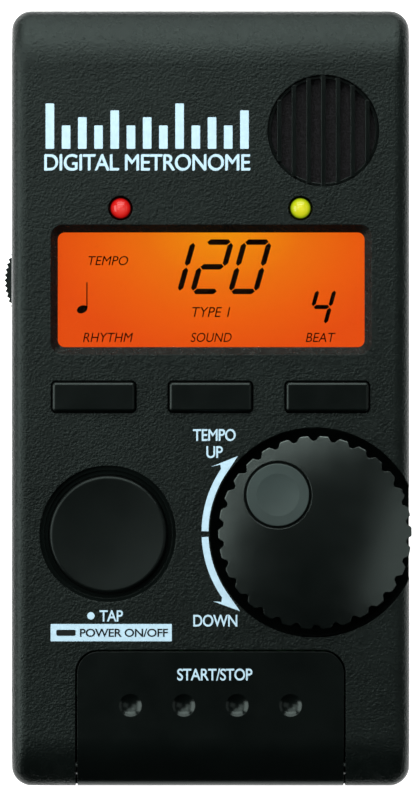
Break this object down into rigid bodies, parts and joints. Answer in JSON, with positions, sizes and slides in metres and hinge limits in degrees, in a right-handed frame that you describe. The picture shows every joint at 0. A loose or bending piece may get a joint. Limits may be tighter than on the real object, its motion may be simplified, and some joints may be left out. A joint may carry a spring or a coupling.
{
  "type": "pocket digital metronome",
  "caption": "Hand-held electronic drum metronome with a lit display, tempo dial, tap pad, function buttons, a start/stop key, volume wheel, speaker and battery door.",
  "frame": {"origin": "centre of the flat back face", "axes": "+Z out of the front face, +Y towards the speaker end, +X to the right seen from the front"},
  "size_m": [0.0595, 0.113, 0.0233],
  "materials": {
    "case_plastic": "matte",
    "key_plastic": "satin",
    "dial_plastic": "satin",
    "window": "polished",
    "lcd": "satin",
    "light_guide": "satin",
    "inner_plastic": "matte",
    "strip_rubber": "matte",
    "dome_silicone": "matte",
    "board": "satin",
    "chip": "matte",
    "can_metal": "satin",
    "red_lens": "polished",
    "green_lens": "polished",
    "grille_cloth": "matte",
    "foam": "matte",
    "pressed_steel": "satin",
    "cone_film": "matte",
    "lead_wire": "matte",
    "spring_steel": "satin",
    "cell_can": "satin",
    "screw_steel": "satin",
    "jack_plastic": "matte"
  },
  "bodies": {
    "case": {"front_case": "case_plastic", "rear_case": "case_plastic", "display_window": "window", "lcd_glass": "lcd", "backlight_guide": "light_guide", "lcd_frame": "inner_plastic", "contact_strips": "strip_rubber", "red_led": "red_lens", "green_led": "green_lens", "speaker_grille": "key_plastic", "speaker_cloth": "grille_cloth", "speaker_gasket": "foam", "speaker_frame": "pressed_steel", "speaker_magnet": "can_metal", "speaker_cone": "cone_film", "speaker_leads": "lead_wire", "main_board": "board", "processor_chip": "chip", "timing_crystal": "can_metal", "capacitors": "can_metal", "encoder_body": "pressed_steel", "rhythm_dome": "dome_silicone", "sound_dome": "dome_silicone", "beat_dome": "dome_silicone", "tap_dome": "dome_silicone", "start_stop_dome": "dome_silicone", "volume_control": "inner_plastic", "earphone_jack": "jack_plastic", "battery_1": "cell_can", "battery_2": "cell_can", "battery_contacts": "spring_steel", "battery_springs": "spring_steel", "case_screws": "screw_steel", "board_screws": "screw_steel"},
    "tempo_dial": {"encoder_shaft": "can_metal", "tempo_dial": "dial_plastic"},
    "finger_disc": {"finger_disc": "dial_plastic", "disc_clip": "spring_steel"},
    "tap_button": {"tap_button": "dial_plastic"},
    "rhythm_button": {"rhythm_button": "key_plastic"},
    "sound_button": {"sound_button": "key_plastic"},
    "beat_button": {"beat_button": "key_plastic"},
    "start_stop_key": {"start_stop_key": "key_plastic"},
    "volume_wheel": {"volume_wheel": "case_plastic", "wheel_screw": "screw_steel"},
    "battery_door": {"battery_door": "case_plastic"}
  },
  "joints": [
    {"name": "tempo_dial_turn", "type": "hinge", "parent": "case", "child": "tempo_dial", "pos_m": [0.0152, -0.01955, 0.0166], "axis": [0, 0, 1], "continuous": true},
    {"name": "finger_disc_spin", "type": "hinge", "parent": "tempo_dial", "child": "finger_disc", "pos_m": [0.0098, -0.01405, 0.022], "axis": [0, 0, 1], "continuous": true},
    {"name": "tap_press", "type": "slide", "parent": "case", "child": "tap_button", "axis": [0, 0, 1], "range_m": [-0.001, 0], "stiffness_N_per_m": 600, "springref_m": 0.0005, "deforming": ["tap_dome"]},
    {"name": "rhythm_press", "type": "slide", "parent": "case", "child": "rhythm_button", "axis": [0, 0, 1], "range_m": [-0.0008, 0], "stiffness_N_per_m": 500, "springref_m": 0.0005, "deforming": ["rhythm_dome"]},
    {"name": "sound_press", "type": "slide", "parent": "case", "child": "sound_button", "axis": [0, 0, 1], "range_m": [-0.0008, 0], "stiffness_N_per_m": 500, "springref_m": 0.0005, "deforming": ["sound_dome"]},
    {"name": "beat_press", "type": "slide", "parent": "case", "child": "beat_button", "axis": [0, 0, 1], "range_m": [-0.0008, 0], "stiffness_N_per_m": 500, "springref_m": 0.0005, "deforming": ["beat_dome"]},
    {"name": "start_stop_press", "type": "hinge", "parent": "case", "child": "start_stop_key", "pos_m": [0, -0.0539, 0.0168], "axis": [1, 0, 0], "range_deg": [-2.2, 0], "stiffness_Nm_per_rad": 0.3, "springref_deg": 1.15, "deforming": ["start_stop_dome"]},
    {"name": "volume_turn", "type": "hinge", "parent": "case", "child": "volume_wheel", "pos_m": [-0.02206, 0.0173, 0.0105], "axis": [0, 0, 1], "range_deg": [-135, 135]},
    {"name": "battery_door_slide", "type": "slide", "parent": "case", "child": "battery_door", "axis": [0, -1, 0], "range_m": [0, 0.046]}
  ]
}
